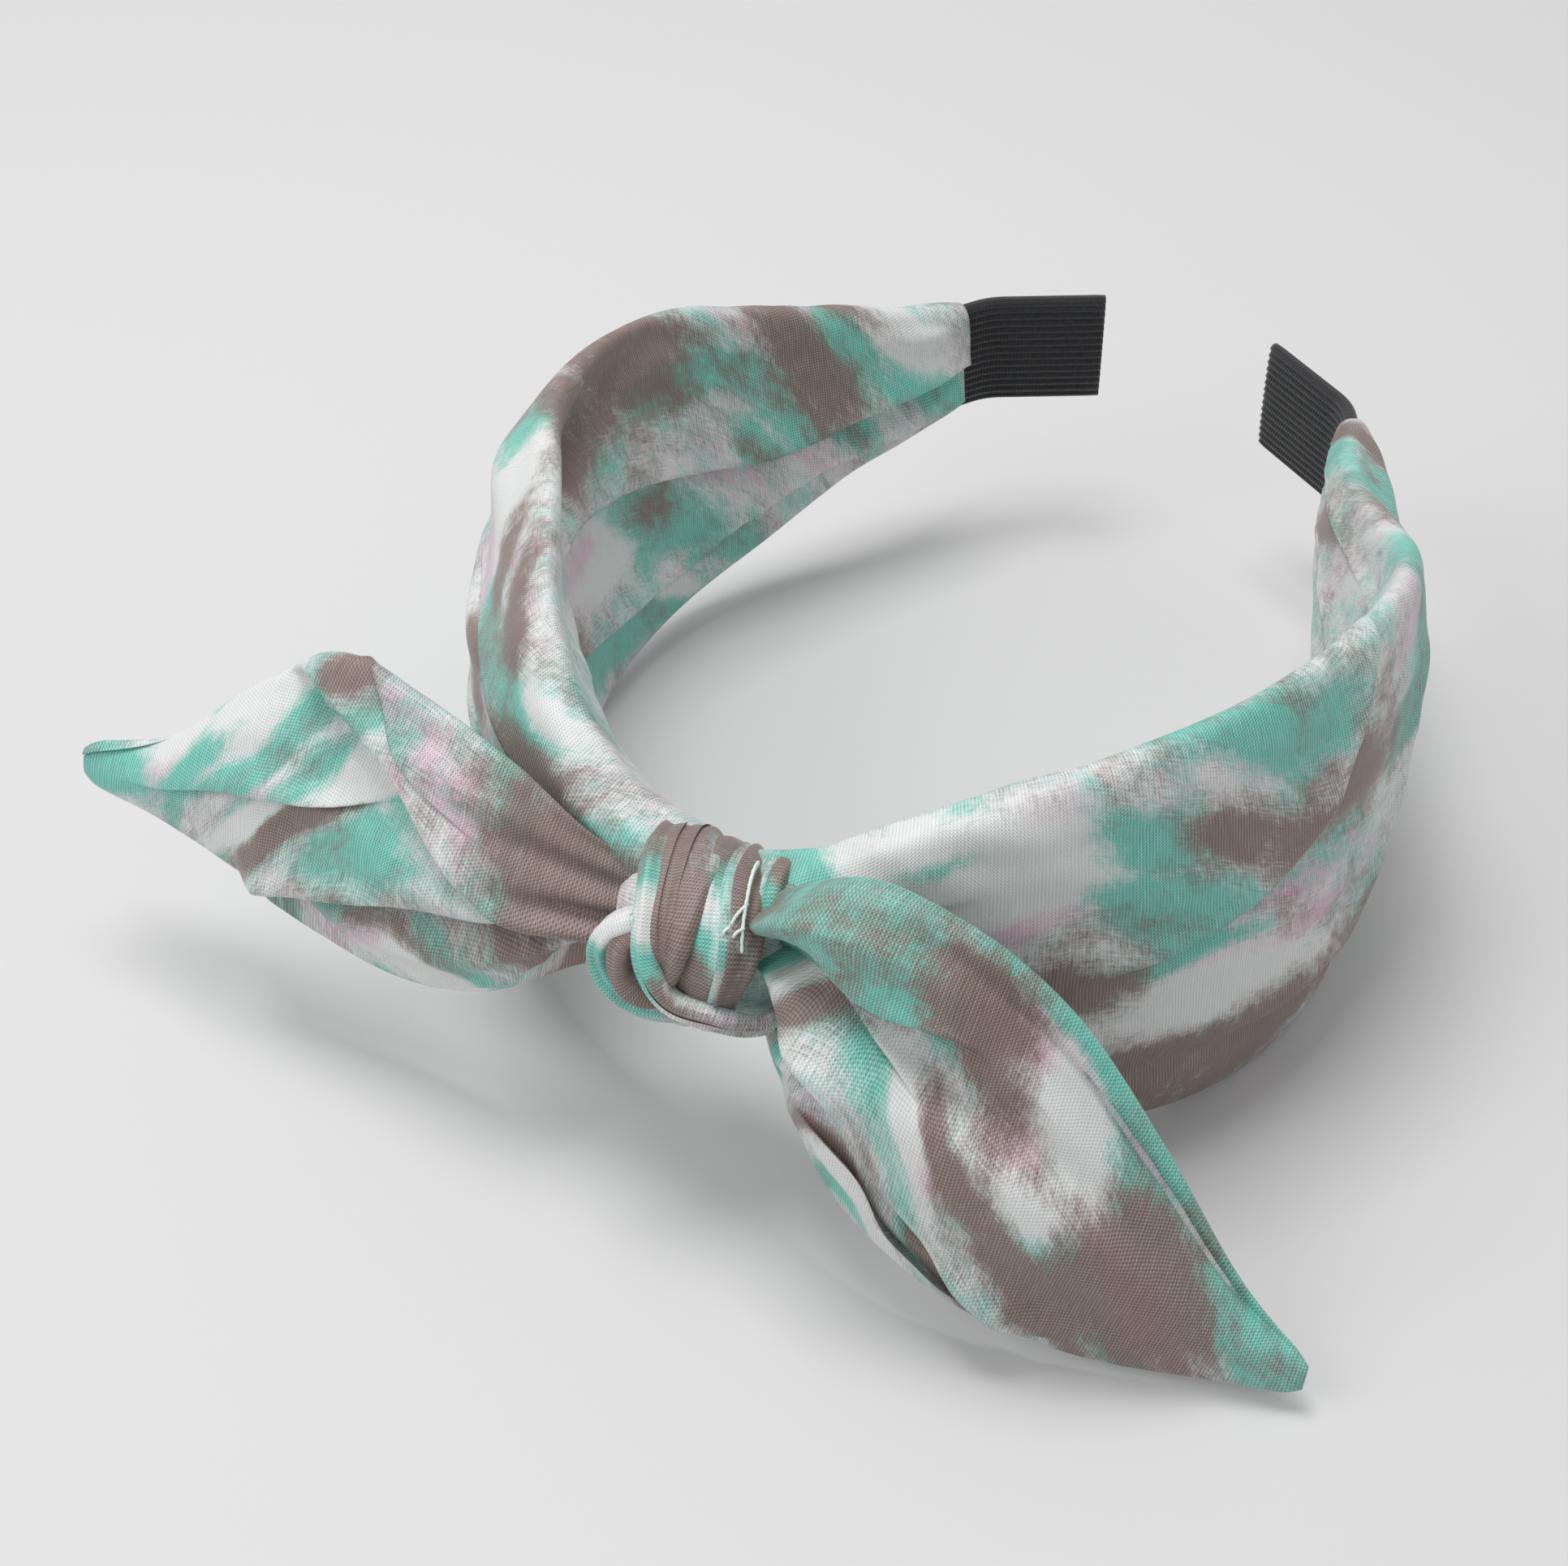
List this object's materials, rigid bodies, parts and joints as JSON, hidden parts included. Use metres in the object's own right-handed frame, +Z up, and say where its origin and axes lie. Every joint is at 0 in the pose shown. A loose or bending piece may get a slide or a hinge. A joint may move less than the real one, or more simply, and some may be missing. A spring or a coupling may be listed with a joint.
{
  "type": "knotted headband",
  "caption": "Wide fabric-covered spring headband with a tied knot at the crown, two pointed bow tails and taped ends.",
  "frame": {"origin": "centre of the whole band's footprint on the table, with the band lying on its lower edge", "axes": "+X towards the right arm and tail, +Y from the knot at the crown to the two open ends, +Z up across the band's width"},
  "size_m": [0.1759, 0.1663, 0.06],
  "materials": {
    "printed_fabric": "light satin weave, blotched dye in taupe, mint, off-white and blush",
    "end_tape": "matt ribbed black tape",
    "core_plastic": "plain moulded plastic",
    "thread": "pale sewing thread"
  },
  "bodies": {
    "crown": {"core_crown": "core_plastic", "cover_crown": "printed_fabric", "knot_turn": "printed_fabric", "knot_wrap": "printed_fabric", "knot_roll": "printed_fabric", "tack_thread": "thread"},
    "arm_left": {"core_arm_left": "core_plastic", "end_tape_left": "end_tape", "cover_left_outer": "printed_fabric", "cover_left_inner": "printed_fabric"},
    "arm_right": {"core_arm_right": "core_plastic", "end_tape_right": "end_tape", "cover_right_outer": "printed_fabric", "cover_right_inner": "printed_fabric"},
    "tail_left": {"tail_left_front": "printed_fabric", "tail_left_back": "printed_fabric", "tail_left_seam": "printed_fabric"},
    "tail_right": {"tail_right_front": "printed_fabric", "tail_right_back": "printed_fabric", "tail_right_seam": "printed_fabric"}
  },
  "joints": [
    {"name": "arm_flex_left", "type": "hinge", "parent": "crown", "child": "arm_left", "pos_m": [-0.02012, -0.05759, 0.03], "axis": [0, 0, 1], "range_deg": [-2, 20], "stiffness_Nm_per_rad": 2},
    {"name": "arm_flex_right", "type": "hinge", "parent": "crown", "child": "arm_right", "pos_m": [0.02012, -0.05759, 0.03], "axis": [0, 0, -1], "range_deg": [-2, 20], "stiffness_Nm_per_rad": 2},
    {"name": "tail_left_lift", "type": "hinge", "parent": "crown", "child": "tail_left", "pos_m": [-0.0235, -0.067, 0.03], "axis": [0, 1, 0], "range_deg": [-15, 35], "stiffness_Nm_per_rad": 0.05},
    {"name": "tail_right_lift", "type": "hinge", "parent": "crown", "child": "tail_right", "pos_m": [0.0235, -0.067, 0.03], "axis": [0, -1, 0], "range_deg": [0, 35], "stiffness_Nm_per_rad": 0.05}
  ]
}
